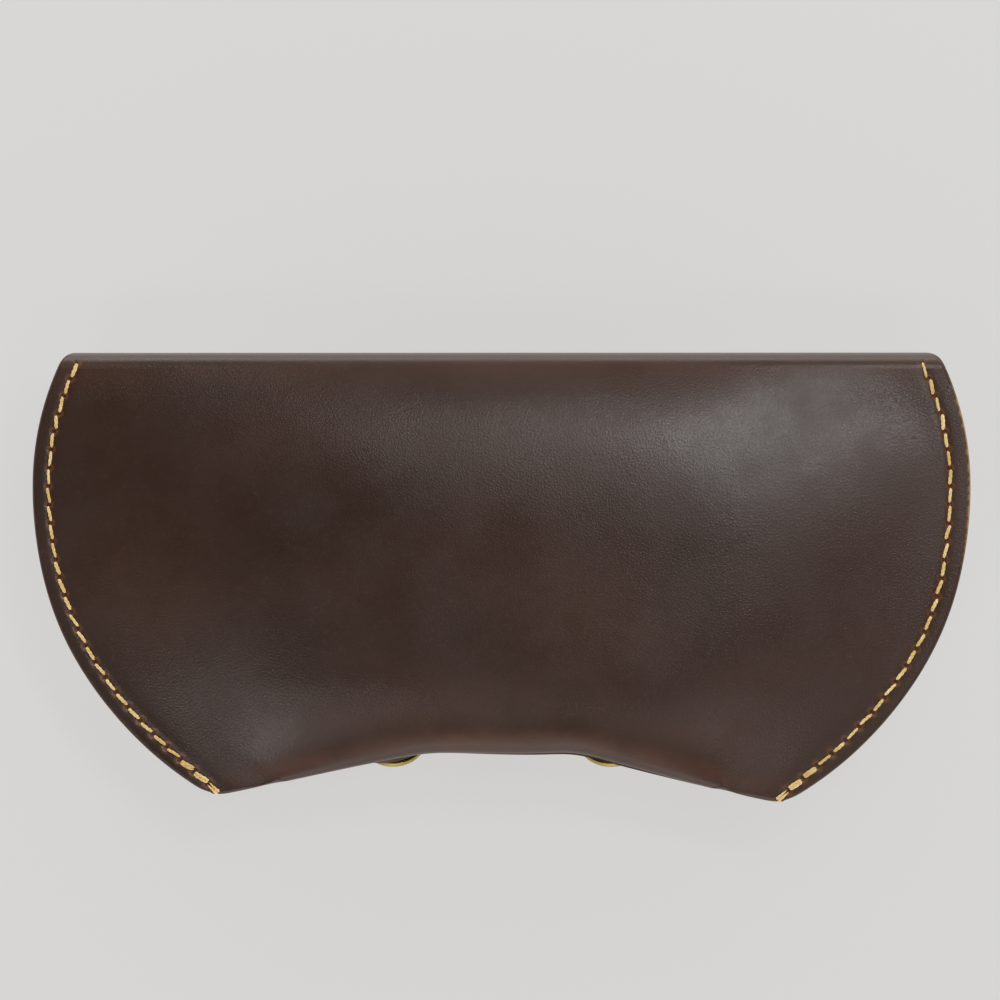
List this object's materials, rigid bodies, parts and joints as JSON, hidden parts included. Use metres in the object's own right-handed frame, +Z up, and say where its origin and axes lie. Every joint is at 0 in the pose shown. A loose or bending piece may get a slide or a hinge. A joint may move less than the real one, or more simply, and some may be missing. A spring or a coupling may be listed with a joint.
{
  "type": "glasses case",
  "caption": "Soft leather glasses case: a sewn pocket with a nose notch and a folded flap closed by press studs.",
  "frame": {"origin": "centre of the base of the bounding box, on the surface that the case lies on", "axes": "+X across the width, +Y from the nose notch to the top fold, +Z up through the back panel; the case lies on its closed flap"},
  "size_m": [0.1752, 0.083, 0.0333],
  "materials": {
    "leather_shell": "waxed full-grain leather, satin",
    "leather_fold": "waxed full-grain leather, satin",
    "leather_flap": "waxed full-grain leather, satin",
    "thread": "waxed twisted thread",
    "brass_cap": "polished",
    "brass_socket": "satin",
    "brass_stud": "satin"
  },
  "bodies": {
    "flap": {"flap": "leather_flap", "snap_cap_left": "brass_cap", "snap_cap_right": "brass_cap", "snap_socket_left": "brass_socket", "snap_socket_right": "brass_socket"},
    "shell": {"back_panel": "leather_shell", "pocket_front": "leather_shell", "top_fold": "leather_fold", "seam_thread_left": "thread", "seam_thread_right": "thread", "snap_stud_left": "brass_stud", "snap_stud_right": "brass_stud", "snap_post_left": "brass_stud", "snap_post_right": "brass_stud"}
  },
  "joints": [
    {"name": "flap_hinge", "type": "hinge", "parent": "flap", "child": "shell", "pos_m": [0, 0.0398, 0.02515], "axis": [-1, 0, 0], "range_deg": [0, 170], "deforming": ["top_fold"]}
  ]
}
